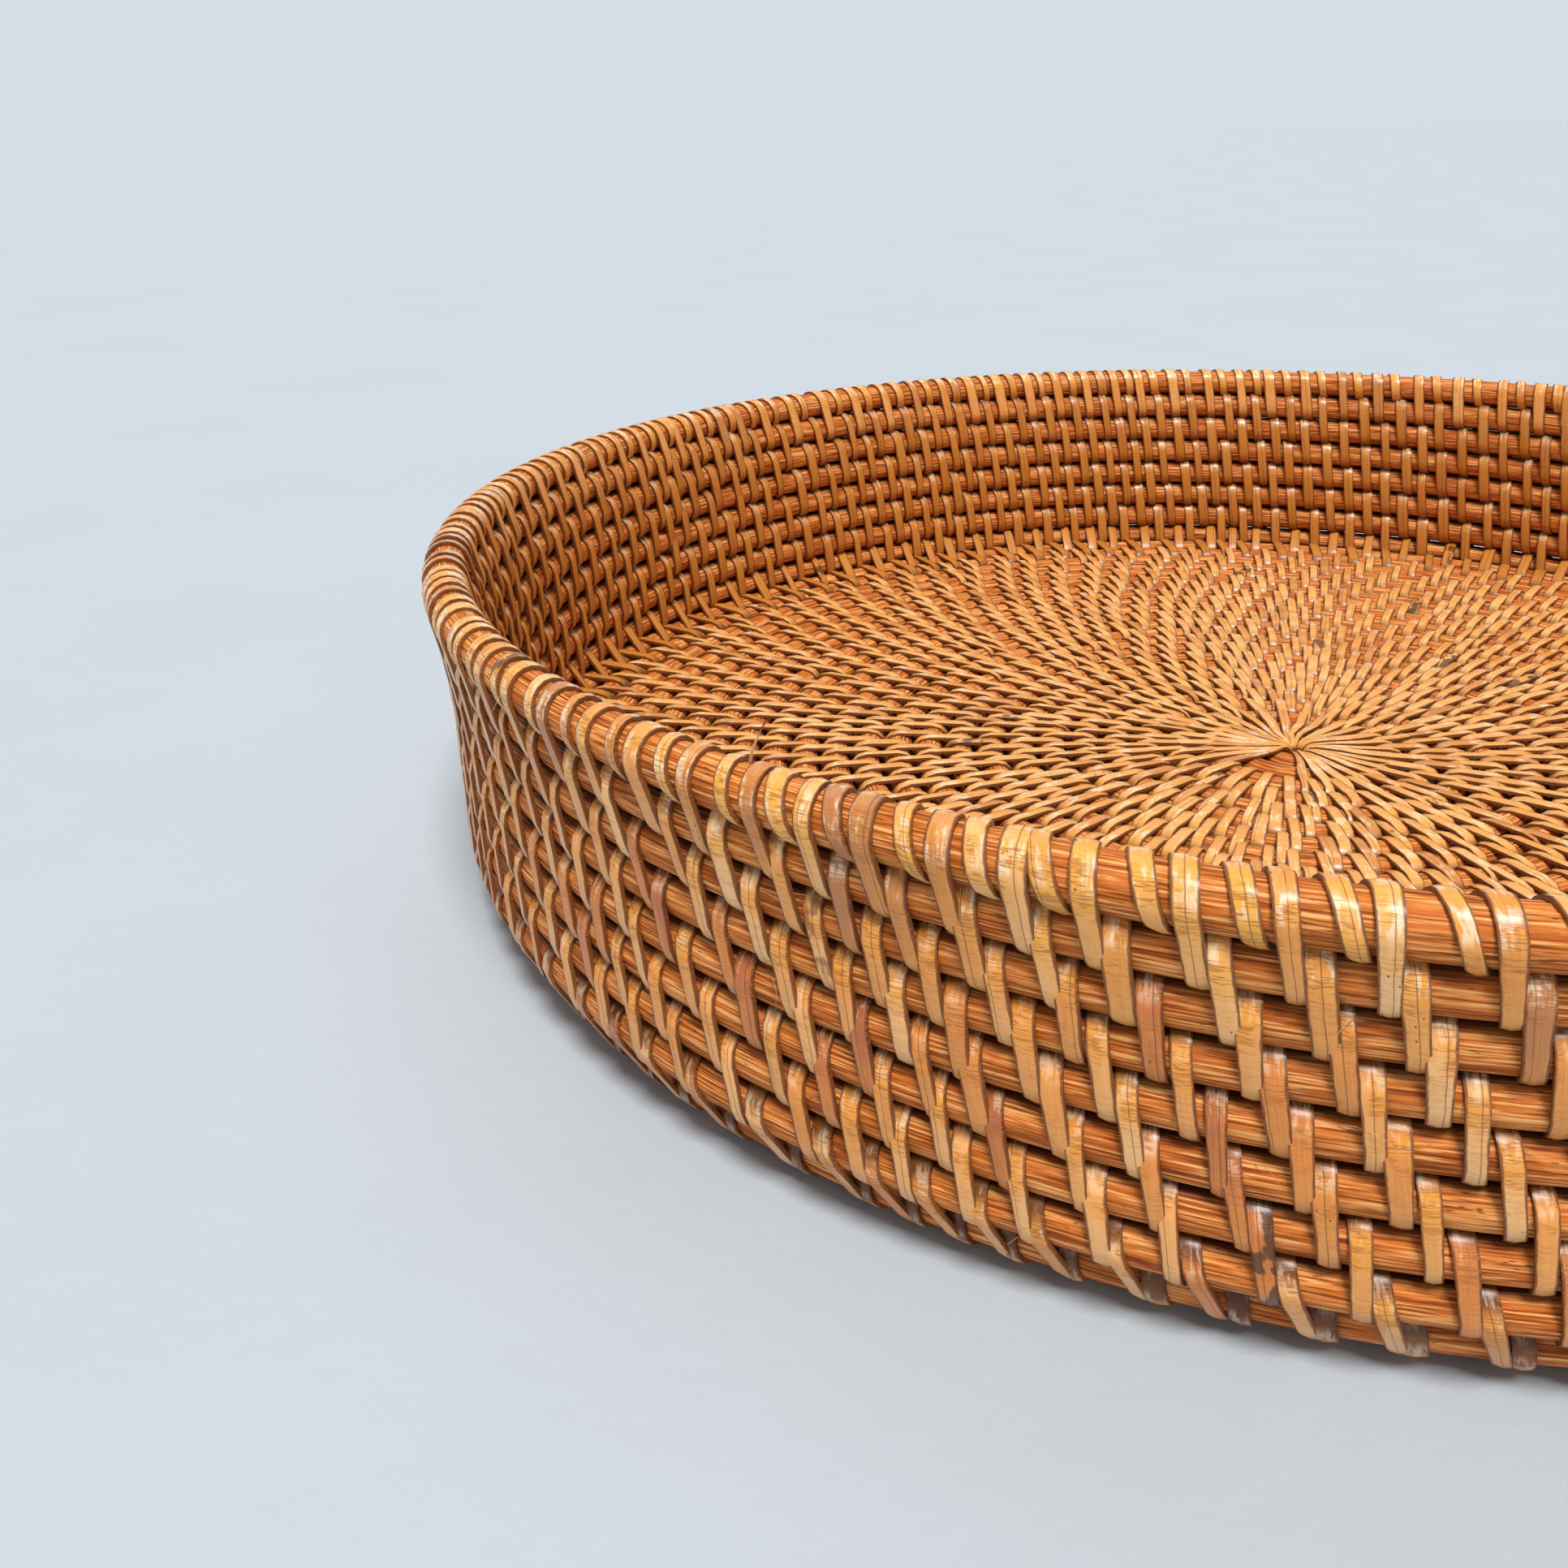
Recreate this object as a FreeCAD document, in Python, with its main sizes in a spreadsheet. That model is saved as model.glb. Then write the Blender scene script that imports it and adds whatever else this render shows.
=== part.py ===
import FreeCAD, Part
import math
import os
import random
from FreeCAD import Placement, Rotation, Vector

# A round tray basket coiled from one long round cane.  The cane starts at the middle of the floor,
# winds outwards counter-clockwise, turns the corner and climbs the wall to the rim.  Flat peeled
# strips lash every turn to the turn before it.  Millimetres, +Z up, floor underside at Z = 0.

doc = FreeCAD.newDocument("coiled_tray")
sheet = doc.addObject("Spreadsheet::Sheet", "Dimensions")

SHEET_ROWS = [
    ("caneDiameter", 5.3),          # round core cane
    ("coilPitch", 5.79),            # from one turn's centre to the next
    ("startRadius", 2.9),           # where the cane begins, beside the middle of the floor
    ("restingRadius", 80.0),        # the floor lies flat as far as this
    ("edgeLift", 1.6),              # and has risen this much where the corner starts
    ("floorRadius", 140.3),         # where the corner starts
    ("cornerRadius", 5.0),          # bend between floor and wall, on the cane's centre line
    ("cornerChord", 6.1),           # from one turn's centre to the next inside that bend
    ("straightWall", 20.0),         # upright part of the wall
    ("flareBend", 90.0),            # radius of the outward curve of the upper wall
    ("seamTurn", 220.0),            # degrees from +X to the start of the cane
    ("totalTurns", 32.35),          # whole cane, floor and wall
    ("tailTurns", 0.07),            # length of the thinned end on the rim
    ("tailDiameter", 1.9),          # thickness at the very end
    ("stripThickness", 0.4),        # peeled lashing strip
    ("lashingGap", 0.03),           # slack between strip and cane
    ("wallStripWidth", 2.3),
    ("floorStripWidth", 1.7),
    ("wallShift", 3.25),            # a stitch sits this far clockwise of the one below it
    ("floorShift", 2.2),            # the same on the floor
    ("wrapShift", 2.8),             # a short rim wrap sits this far clockwise of a long stitch
    ("stitchBase", 4.0),            # stitch spacing at the middle of the floor
    ("stitchGrowth", 0.031),        # and how much it opens per millimetre of radius
    ("extraStitchGap", 1.4),        # an extra stitch comes in where a gap is this many spacings
    ("extraStitchLuck", 0.2),       # give or take
    ("stitchPull", 0.25),           # how far a stitch moves towards the even spacing
    ("stitchWander", 0.07),         # unevenness of the spacing, as a share of it
    ("centreStrips", 27),           # long strips that hold the first turns
    ("centreTurns", 2.75),          # turns under the centre strips
    ("centreInnerReach", 1.1),      # where those strips turn down, at the middle
    ("centreInnerWidth", 0.3),      # their width there
    ("centreOuterWidth", 2.0),      # and at their outer end
]

for rowNumber, (alias, value) in enumerate(SHEET_ROWS, start=1):
    sheet.set("A%d" % rowNumber, alias)
    sheet.set("B%d" % rowNumber, str(value))
    sheet.setAlias("B%d" % rowNumber, alias)
doc.recompute()

caneRadius = sheet.caneDiameter / 2
pitch = sheet.coilPitch
floorHeight = sheet.stripThickness + sheet.lashingGap + caneRadius
risingFloor = sheet.floorRadius - sheet.restingRadius
edgeSlope = math.atan(2 * sheet.edgeLift / risingFloor)
cornerStep = 2 * math.asin(sheet.cornerChord / 2 / sheet.cornerRadius)
cornerTurns = (math.pi / 2 - edgeSlope) / cornerStep
floorTurns = (sheet.floorRadius - sheet.startRadius) / pitch
lastHalfTurn = math.ceil(sheet.totalTurns * 2) - 1
seamPlacement = Placement(Vector(0, 0, 0), Rotation(Vector(0, 0, 1), sheet.seamTurn))


# ---- the line that the cane follows ----

def profile(turn):
    """Radius and height of the cane's centre after this many turns."""
    if turn <= floorTurns:
        radius = sheet.startRadius + turn * pitch
        outside = max(radius - sheet.restingRadius, 0) / risingFloor
        return radius, floorHeight + sheet.edgeLift * outside ** 2
    bend = sheet.cornerRadius
    angle = edgeSlope + min(turn - floorTurns, cornerTurns) * cornerStep
    radius = sheet.floorRadius + bend * (math.sin(angle) - math.sin(edgeSlope))
    height = floorHeight + sheet.edgeLift + bend * (math.cos(edgeSlope) - math.cos(angle))
    upWall = (turn - floorTurns - cornerTurns) * pitch
    if upWall <= 0:
        return radius, height
    straight = min(upWall, sheet.straightWall)
    flare = (upWall - straight) / sheet.flareBend
    radius += sheet.flareBend * (1 - math.cos(flare))
    height += straight + sheet.flareBend * math.sin(flare)
    return radius, height


def seamPoint(halfTurn):
    """Centre of the cane where it crosses the seam plane: even crossings on +X, odd ones on -X."""
    radius, height = profile(halfTurn / 2)
    side = 1 if halfTurn % 2 == 0 else -1
    return Vector(side * radius, 0, height)


def halfTurnArc(halfTurn):
    """Centre, radius and first direction of the half circle that starts at this crossing."""
    first = seamPoint(halfTurn)
    last = seamPoint(halfTurn + 1)
    outward = first - last
    return (first + last) * 0.5, outward.Length / 2, outward.normalize()


def canePoint(turn):
    """Centre of the cane and its running direction after this many turns, seam on the X axis."""
    halfTurn = min(int(turn * 2), lastHalfTurn)
    centre, radius, outward = halfTurnArc(halfTurn)
    swing = math.pi * (turn * 2 - halfTurn)
    sideways = Vector(0, 1 if halfTurn % 2 == 0 else -1, 0)
    point = centre + outward * (radius * math.cos(swing)) + sideways * (radius * math.sin(swing))
    running = sideways * math.cos(swing) - outward * math.sin(swing)
    return point, running


def rimEnd(turn):
    """Centre and radius of the cane on the rim, where its end is thinned and sinks onto the wall."""
    point, running = canePoint(turn)
    thinned = (turn - (sheet.totalTurns - sheet.tailTurns)) / sheet.tailTurns
    if thinned <= 0:
        return point, running, caneRadius
    radius = caneRadius + (sheet.tailDiameter / 2 - caneRadius) * thinned
    below, ignored = canePoint(turn - 1)
    upward = (point - below).normalize()
    return below + upward * (pitch - caneRadius + radius), running, radius


# ---- cane pieces ----

def addHalfTurn(name, halfTurn, share=1.0):
    """Half a turn of cane: a length of torus between two crossings of the seam plane."""
    centre, radius, outward = halfTurnArc(halfTurn)
    sideways = Vector(0, 1 if halfTurn % 2 == 0 else -1, 0)
    torus = doc.addObject("Part::Torus", name)
    torus.Radius1 = radius
    torus.setExpression("Radius2", "Dimensions.caneDiameter / 2")
    torus.Angle3 = 180 * share
    turned = Rotation(outward, sideways, outward.cross(sideways), "ZXY")
    torus.Placement = seamPlacement.multiply(Placement(centre, turned))
    return torus


def addTail():
    """The thinned end of the cane on the rim, through round sections that shrink."""
    sections = []
    steps = 6
    for step in range(steps + 1):
        turn = sheet.totalTurns - sheet.tailTurns * (1 - step / steps)
        point, running, radius = rimEnd(turn)
        sections.append(Part.Wire([Part.makeCircle(radius, point, running)]))
    tail = doc.addObject("Part::Feature", "rim_tail")
    tail.Shape = Part.makeLoft(sections, True)
    tail.Placement = seamPlacement
    return tail


def addCane(name, firstTurn, lastTurn):
    """One named length of the coil."""
    pieces = []
    for halfTurn in range(firstTurn * 2, math.ceil(lastTurn * 2)):
        thickEnd = (sheet.totalTurns - sheet.tailTurns) * 2
        share = min(thickEnd - halfTurn, 1.0)
        pieces.append(addHalfTurn("%s_half_%d" % (name, halfTurn), halfTurn, share))
    if lastTurn == sheet.totalTurns:
        pieces.append(addTail())
    cane = doc.addObject("Part::MultiFuse", name)
    cane.Shapes = pieces
    cane.Label = name
    return cane


# ---- lashing stitches ----

def loopOutline(reach, innerRadius, outerRadius):
    """Closed outline round two circles on the local X axis, a distance `reach` apart."""
    tilt = math.asin((innerRadius - outerRadius) / reach)
    x, y = math.sin(tilt), math.cos(tilt)
    innerTop = Vector(-reach / 2 + innerRadius * x, innerRadius * y, 0)
    outerTop = Vector(reach / 2 + outerRadius * x, outerRadius * y, 0)
    innerLow = Vector(innerTop.x, -innerTop.y, 0)
    outerLow = Vector(outerTop.x, -outerTop.y, 0)
    return Part.Wire([
        Part.LineSegment(innerTop, outerTop).toShape(),
        Part.Arc(outerTop, Vector(reach / 2 + outerRadius, 0, 0), outerLow).toShape(),
        Part.LineSegment(outerLow, innerLow).toShape(),
        Part.Arc(innerLow, Vector(-reach / 2 - innerRadius, 0, 0), innerTop).toShape(),
    ])


def bandSolid(outerWire, innerWire, width):
    """A strip of this width whose edge is the ring between two outlines."""
    ring = Part.Face(outerWire).cut(Part.Face(innerWire)).Faces[0]
    band = ring.extrude(Vector(0, 0, width))
    band.translate(Vector(0, 0, -width / 2))
    return band


plainLoops = {}


def loopSolid(reach, outerCane, width):
    """A loop of strip round two neighbouring canes; equal loops share one shape."""
    key = (round(reach, 2), round(outerCane, 3), width)
    if key not in plainLoops:
        inside = sheet.lashingGap
        outside = sheet.lashingGap + sheet.stripThickness
        plainLoops[key] = bandSolid(
            loopOutline(key[0], caneRadius + outside, outerCane + outside),
            loopOutline(key[0], caneRadius + inside, outerCane + inside),
            width,
        )
    return plainLoops[key].copy()


def stitch(turn, width):
    """The loop that lashes the cane at this turn to the turn before it."""
    outer, running, radius = rimEnd(turn)
    inner, ignored = canePoint(turn - 1)
    across = outer - inner
    loop = loopSolid(across.Length, radius, width)
    turned = Rotation(across, across.cross(running) * -1, running, "ZXY")
    loop.Placement = Placement((outer + inner) * 0.5, turned)
    return loop


def shortWrap(turn, width):
    """A ring of strip round the rim cane alone."""
    point, running, radius = rimEnd(turn)
    inside = radius + sheet.lashingGap
    outside = inside + sheet.stripThickness
    ring = bandSolid(
        Part.Wire([Part.makeCircle(outside)]),
        Part.Wire([Part.makeCircle(inside)]),
        width,
    )
    ring.Placement = Placement(point, Rotation(Vector(0, 0, 1), running))
    return ring


def stitchTurns():
    """Where the stitches sit along the coil, in turns.

    Each stitch follows the one below it, a little clockwise.  Where the growing floor has opened
    a gap too far, an extra stitch comes in, and the later rows even out around it."""
    uneven = random.Random(7)
    firstRow = int(sheet.centreStrips)
    places = [sheet.centreTurns + (index + 0.5) / firstRow for index in range(firstRow)]
    below = 0
    while places[-1] < sheet.totalTurns:
        radius = profile(places[-1])[0]
        around = 2 * math.pi * radius
        shift = sheet.floorShift if places[-1] < floorTurns else sheet.wallShift
        spacing = (sheet.stitchBase + sheet.stitchGrowth * radius) / around
        candidate = places[below] + 1 - shift / around
        gap = candidate - places[-1]
        luck = uneven.uniform(-sheet.extraStitchLuck, sheet.extraStitchLuck)
        if gap > (sheet.extraStitchGap + luck) * spacing:
            places.append(places[-1] + gap / 2)
            continue
        wander = uneven.uniform(-1, 1) * sheet.stitchWander * spacing
        places.append(candidate - sheet.stitchPull * (gap - spacing) + wander)
        below += 1
    return places[:-1]


def addLashing(name, solids):
    """One named set of stitches."""
    lashing = doc.addObject("Part::Feature", name)
    lashing.Shape = Part.makeCompound(solids)
    lashing.Placement = seamPlacement
    lashing.Label = name
    return lashing


def addStitches(name, firstTurn, lastTurn, width):
    chosen = [turn for turn in allStitches if firstTurn <= turn < lastTurn]
    return addLashing(name, [stitch(turn, width) for turn in chosen])


def centreStrip(turn):
    """A long strip over and under the first turns, narrow at the middle and wide outside."""
    outer, running = canePoint(turn)
    away = Vector(outer.x, outer.y, 0)
    outerReach = away.Length + pitch / 2
    innerReach = sheet.centreInnerReach
    thick = sheet.stripThickness
    top = 2 * floorHeight
    length = outerReach - innerReach
    half, wide = sheet.centreInnerWidth / 2, sheet.centreOuterWidth / 2
    band = Part.makeBox(length, 2 * wide, top, Vector(innerReach, -wide, 0))
    hollow = Part.makeBox(length - 2 * thick, 2 * wide, top - 2 * thick,
                          Vector(innerReach + thick, -wide, thick))
    corners = [
        Vector(innerReach, -half, 0),
        Vector(outerReach, -wide, 0),
        Vector(outerReach, wide, 0),
        Vector(innerReach, half, 0),
        Vector(innerReach, -half, 0),
    ]
    taper = Part.Face(Part.makePolygon(corners)).extrude(Vector(0, 0, top))
    strip = band.cut(hollow).common(taper).Solids[0]
    strip.Placement = Placement(Vector(0, 0, 0), Rotation(Vector(1, 0, 0), away))
    return strip


# ---- the coil, in lengths of a few turns on the floor and one turn on the wall ----

subparts = []
floorSplits = [0, 4, 8, 12, 16, 20, 23]
rimStart = int(sheet.totalTurns) - 1
baseStart = floorSplits[-1]
courses = [("base_%s", baseStart, baseStart + 1)]
for number, start in enumerate(range(baseStart + 1, rimStart), start=1):
    courses.append(("wall_%%s_%d" % number, start, start + 1))
courses.append(("rim_%s", rimStart, sheet.totalTurns))

for number, (firstTurn, lastTurn) in enumerate(zip(floorSplits, floorSplits[1:]), start=1):
    subparts.append(addCane("floor_cane_%d" % number, firstTurn, lastTurn))

for name, firstTurn, lastTurn in courses:
    subparts.append(addCane(name % "cane", firstTurn, lastTurn))

# ---- the lashing ----

allStitches = stitchTurns()
firstStitch = allStitches[0]

stripCount = int(sheet.centreStrips)
centreShares = [index / stripCount for index in range(stripCount)]
subparts.append(addLashing(
    "centre_lashing", [centreStrip(sheet.centreTurns - share) for share in centreShares]))

for number, (firstTurn, lastTurn) in enumerate(zip(floorSplits, floorSplits[1:]), start=1):
    if lastTurn > firstStitch:
        subparts.append(addStitches(
            "floor_lashing_%d" % number, firstTurn, lastTurn, sheet.floorStripWidth))

for name, firstTurn, lastTurn in courses:
    subparts.append(addStitches(name % "lashing", firstTurn, lastTurn, sheet.wallStripWidth))

lastTurnStart = sheet.totalTurns - 1
wrapBack = sheet.wrapShift / (2 * math.pi * profile(lastTurnStart)[0])
wrapTurns = [turn - wrapBack for turn in allStitches if turn - wrapBack >= lastTurnStart]
subparts.append(addLashing(
    "rim_short_wraps", [shortWrap(turn, sheet.wallStripWidth) for turn in wrapTurns]))

# ---- check and write ----

doc.recompute()
for item in doc.Objects:
    if "Invalid" in item.State or "Error" in item.State:
        raise RuntimeError("%s did not compute: %s" % (item.Label, item.State))
for item in subparts:
    if item.Shape.isNull() or not item.Shape.isValid():
        raise RuntimeError("%s has no valid shape" % item.Label)
    if "cane" in item.Label and len(item.Shape.Solids) != 1:
        raise RuntimeError("%s is not one piece" % item.Label)

os.makedirs("parts", exist_ok=True)
for item in subparts:
    item.Shape.exportStep("parts/%s.step" % item.Label)
    box = item.Shape.BoundBox
    print("%-18s %4d solids  %9.1f mm3  z %.2f to %.2f" % (
        item.Label, len(item.Shape.Solids), item.Shape.Volume, box.ZMin, box.ZMax))
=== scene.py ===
import math
import random

import bpy
import numpy as np
from mathutils import Matrix, Vector


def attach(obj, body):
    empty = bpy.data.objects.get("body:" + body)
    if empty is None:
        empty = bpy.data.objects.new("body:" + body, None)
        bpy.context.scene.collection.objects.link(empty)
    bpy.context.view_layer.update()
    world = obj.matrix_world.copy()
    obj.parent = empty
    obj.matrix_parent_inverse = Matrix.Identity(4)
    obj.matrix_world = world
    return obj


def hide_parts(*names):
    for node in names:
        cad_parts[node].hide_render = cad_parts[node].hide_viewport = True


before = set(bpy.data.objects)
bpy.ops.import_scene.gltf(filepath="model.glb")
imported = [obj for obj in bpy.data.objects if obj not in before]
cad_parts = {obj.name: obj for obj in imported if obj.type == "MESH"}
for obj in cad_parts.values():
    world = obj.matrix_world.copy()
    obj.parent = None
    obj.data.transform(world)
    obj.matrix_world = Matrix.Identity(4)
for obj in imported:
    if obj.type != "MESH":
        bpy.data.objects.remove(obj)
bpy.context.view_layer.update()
mm = 0.001

# A tray basket coiled from one long round cane and lashed with flat peeled strips.
# The coil follows the CAD: the same spiral floor, tight corner, wall and thinned rim end.
coil = {                       # millimetres, degrees and turns
    "caneRadius": 2.65,
    "pitch": 5.79,
    "startRadius": 2.9,
    "restingRadius": 80.0,     # flat floor as far as this
    "edgeLift": 1.6,           # then it rises this much
    "floorRadius": 140.3,
    "cornerRadius": 5.0,
    "cornerChord": 6.1,
    "straightWall": 20.0,
    "flareBend": 90.0,
    "underFloor": 0.43,        # strip and slack under the cane
    "seamTurn": 220.0,
    "totalTurns": 32.35,
    "tailTurns": 0.07,
    "tailRadius": 0.95,
}

stitching = {                  # how the stitches are set out along the coil
    "centreStrips": 27,
    "centreTurns": 2.75,
    "wallShift": 3.25,
    "floorShift": 2.2,
    "wrapShift": 2.8,
    "base": 4.0,
    "growth": 0.031,
    "extraGap": 1.4,
    "extraLuck": 0.2,
    "pull": 0.25,
    "wander": 0.07,
}

floorSplits = [0, 4, 8, 12, 16, 20, 23]            # turns where the floor is cut into lengths
baseStart = floorSplits[-1]
wallStart = baseStart + 1
rimStart = int(coil["totalTurns"]) - 1
floorHeight = coil["underFloor"] + coil["caneRadius"]
risingFloor = coil["floorRadius"] - coil["restingRadius"]
edgeSlope = math.atan(2 * coil["edgeLift"] / risingFloor)
cornerStep = 2 * math.asin(coil["cornerChord"] / 2 / coil["cornerRadius"])
cornerTurns = (math.pi / 2 - edgeSlope) / cornerStep
floorTurns = (coil["floorRadius"] - coil["startRadius"]) / coil["pitch"]
thickEnd = coil["totalTurns"] - coil["tailTurns"]
lastHalfTurn = math.ceil(coil["totalTurns"] * 2) - 1
seamTurned = Matrix.Rotation(math.radians(coil["seamTurn"]), 3, "Z")
caneRadius = coil["caneRadius"] * mm
pitch = coil["pitch"] * mm


# the line of the cane

def caneProfile(turn):
    if turn <= floorTurns:
        radius = coil["startRadius"] + turn * coil["pitch"]
        outside = max(radius - coil["restingRadius"], 0) / risingFloor
        return radius, floorHeight + coil["edgeLift"] * outside ** 2
    bend = coil["cornerRadius"]
    angle = edgeSlope + min(turn - floorTurns, cornerTurns) * cornerStep
    radius = coil["floorRadius"] + bend * (math.sin(angle) - math.sin(edgeSlope))
    height = floorHeight + coil["edgeLift"] + bend * (math.cos(edgeSlope) - math.cos(angle))
    upWall = (turn - floorTurns - cornerTurns) * coil["pitch"]
    if upWall <= 0:
        return radius, height
    straight = min(upWall, coil["straightWall"])
    flare = (upWall - straight) / coil["flareBend"]
    radius += coil["flareBend"] * (1 - math.cos(flare))
    height += straight + coil["flareBend"] * math.sin(flare)
    return radius, height


def seamPoint(halfTurn):
    radius, height = caneProfile(halfTurn / 2)
    side = 1 if halfTurn % 2 == 0 else -1
    return Vector((side * radius, 0, height)) * mm


def halfTurnArc(halfTurn):     # centre, radius and the two directions of a half circle, as built
    first = seamPoint(halfTurn)
    last = seamPoint(halfTurn + 1)
    outward = (first - last).normalized()
    sideways = Vector((0, 1 if halfTurn % 2 == 0 else -1, 0))
    centre = seamTurned @ ((first + last) / 2)
    return centre, (first - last).length / 2, seamTurned @ outward, seamTurned @ sideways


def canePoint(turn):           # centre of the cane and the way it runs
    halfTurn = min(int(turn * 2), lastHalfTurn)
    centre, radius, outward, sideways = halfTurnArc(halfTurn)
    swing = math.pi * (turn * 2 - halfTurn)
    point = centre + outward * radius * math.cos(swing) + sideways * radius * math.sin(swing)
    return point, sideways * math.cos(swing) - outward * math.sin(swing)


def rimEnd(turn):              # the same, where the end on the rim gets thin and sinks
    point, running = canePoint(turn)
    thinned = (turn - thickEnd) / coil["tailTurns"]
    if thinned <= 0:
        return point, running, caneRadius
    radius = caneRadius + (coil["tailRadius"] * mm - caneRadius) * thinned
    below = canePoint(turn - 1)[0]
    upward = (point - below).normalized()
    return below + upward * (pitch - caneRadius + radius), running, radius


def stitchTurns():             # each stitch follows the one below it, as in the CAD
    uneven = random.Random(7)
    firstRow = stitching["centreStrips"]
    places = [stitching["centreTurns"] + (index + 0.5) / firstRow for index in range(firstRow)]
    below = 0
    while places[-1] < coil["totalTurns"]:
        radius = caneProfile(places[-1])[0]
        around = 2 * math.pi * radius
        shift = stitching["floorShift"] if places[-1] < floorTurns else stitching["wallShift"]
        spacing = (stitching["base"] + stitching["growth"] * radius) / around
        candidate = places[below] + 1 - shift / around
        gap = candidate - places[-1]
        luck = uneven.uniform(-stitching["extraLuck"], stitching["extraLuck"])
        if gap > (stitching["extraGap"] + luck) * spacing:
            places.append(places[-1] + gap / 2)
            continue
        wander = uneven.uniform(-1, 1) * stitching["wander"] * spacing
        places.append(candidate - stitching["pull"] * (gap - spacing) + wander)
        below += 1
    return places[:-1]


# small helpers for nodes

def newMaterial(name):
    material = bpy.data.materials.new(name)
    material.use_nodes = True
    material.node_tree.nodes.clear()
    return material, material.node_tree


def addNode(tree, kind, settings=None, **inputs):
    node = tree.nodes.new(kind)
    for key, value in (settings or {}).items():
        setattr(node, key, value)
    for key, value in inputs.items():
        socket = node.inputs[int(key[2:])] if key.startswith("in") else node.inputs[key]
        if isinstance(value, bpy.types.NodeSocket):
            tree.links.new(value, socket)
        else:
            socket.default_value = value
    return node


def attribute(tree, name, output="Vector"):
    return addNode(tree, "ShaderNodeAttribute", {"attribute_name": name}).outputs[output]


def calc(tree, operation, first, second=0.0, clamp=False):
    node = addNode(tree, "ShaderNodeMath", {"operation": operation, "use_clamp": clamp},
                   in0=first, in1=second)
    return node.outputs[0]


def plus(tree, first, second, clamp=False):
    return calc(tree, "ADD", first, second, clamp)


def minus(tree, first, second):
    return calc(tree, "SUBTRACT", first, second)


def times(tree, first, second):
    return calc(tree, "MULTIPLY", first, second)


def unsigned(tree, value):
    return calc(tree, "ABSOLUTE", value)


def fraction(tree, value, repeats):                # a number from 0 to 1 that differs for every strip
    return calc(tree, "FRACT", times(tree, value, repeats))


def stepUp(tree, value, start, end, top=1.0):      # 0 at start, rising smoothly to top at end
    node = addNode(tree, "ShaderNodeMapRange", {"interpolation_type": "SMOOTHSTEP"}, Value=value)
    node.inputs["From Min"].default_value = start
    node.inputs["From Max"].default_value = end
    node.inputs["To Max"].default_value = top
    return node.outputs[0]


def blend(tree, amount, first, second):            # a colour is a socket or red, green and blue
    node = addNode(tree, "ShaderNodeMix", {"data_type": "RGBA"}, in0=amount)
    for socket, value in ((node.inputs[6], first), (node.inputs[7], second)):
        if isinstance(value, bpy.types.NodeSocket):
            tree.links.new(value, socket)
        else:
            socket.default_value = value + (1,)
    return node.outputs[2]


def stretched(tree, vector, scale):
    return addNode(tree, "ShaderNodeMapping", Vector=vector, Scale=scale).outputs[0]


def noise(tree, vector, scale, detail=4.0, roughness=0.55):
    return addNode(tree, "ShaderNodeTexNoise", Vector=stretched(tree, vector, scale),
                   Scale=1.0, Detail=detail, Roughness=roughness).outputs[0]


def specks(tree, vector, scale, core, reach):      # scattered dots, 1 within the core and 0 past the reach
    cells = addNode(tree, "ShaderNodeTexVoronoi", Vector=stretched(tree, vector, scale), Scale=1.0)
    return stepUp(tree, cells.outputs["Distance"], reach, core)


def colourRamp(tree, value, stops):
    node = addNode(tree, "ShaderNodeValToRGB", Fac=value)
    ramp = node.color_ramp
    ramp.elements[0].position, ramp.elements[0].color = stops[0][0], stops[0][1] + (1,)
    ramp.elements[1].position, ramp.elements[1].color = stops[-1][0], stops[-1][1] + (1,)
    for place, colour in stops[1:-1]:
        ramp.elements.new(place).color = colour + (1,)
    return node.outputs[0]


def surface(tree, colour, roughness, bump, coat=0.0, shine=0.28, coatRoughness=0.22):
    shader = addNode(tree, "ShaderNodeBsdfPrincipled", **{"Base Color": colour,
                     "Roughness": roughness, "Normal": bump})
    shader.inputs["Coat Weight"].default_value = coat
    shader.inputs["Coat Roughness"].default_value = coatRoughness
    shader.inputs["Specular IOR Level"].default_value = shine
    out = tree.nodes.new("ShaderNodeOutputMaterial")
    tree.links.new(shader.outputs[0], out.inputs[0])


def bumpOf(tree, height, strength, depth):
    return addNode(tree, "ShaderNodeBump", Height=height, Strength=strength,
                   Distance=depth * mm).outputs[0]


# the core cane: fibres along it, pale threads, pits, and painted shade where it meets its neighbour

caneFinish = {                 # scales are for lengths in millimetres, first along the cane
    "pith": (0.15, 0.030, 0.005),
    "redBrown": (0.46, 0.106, 0.016),
    "orange": (0.66, 0.185, 0.032),
    "straw": (0.92, 0.47, 0.160),
    # near-black painted shade, for the crevices between the turns and where the strips dive in
    "paintedShade": (0.045, 0.008, 0.0015),
    "pit": (0.035, 0.012, 0.005),
    "fibreScale": (0.10, 2.3, 2.3),
    "threadScale": (0.12, 4.0, 4.0),
    "patchScale": (0.035, 0.35, 0.35),
    "pitScale": (0.42, 2.6, 2.6),
    "fibreShare": 0.62,        # how much of the colour follows the fibres, the rest the patches
    "paleThreads": 0.85,
    "darkThreads": 0.75,
    "pits": 0.8,
    # strength of the painted shade in the crevices
    "creviceShade": 0.95,
    "smoothest": 0.46,
    "roughest": 0.66,
    "threadHeight": 0.5,       # beside the fibres in the bump
    "bump": 0.9,
    "bumpDepth": 0.12,         # millimetres
    "shine": 0.13,
}


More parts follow.
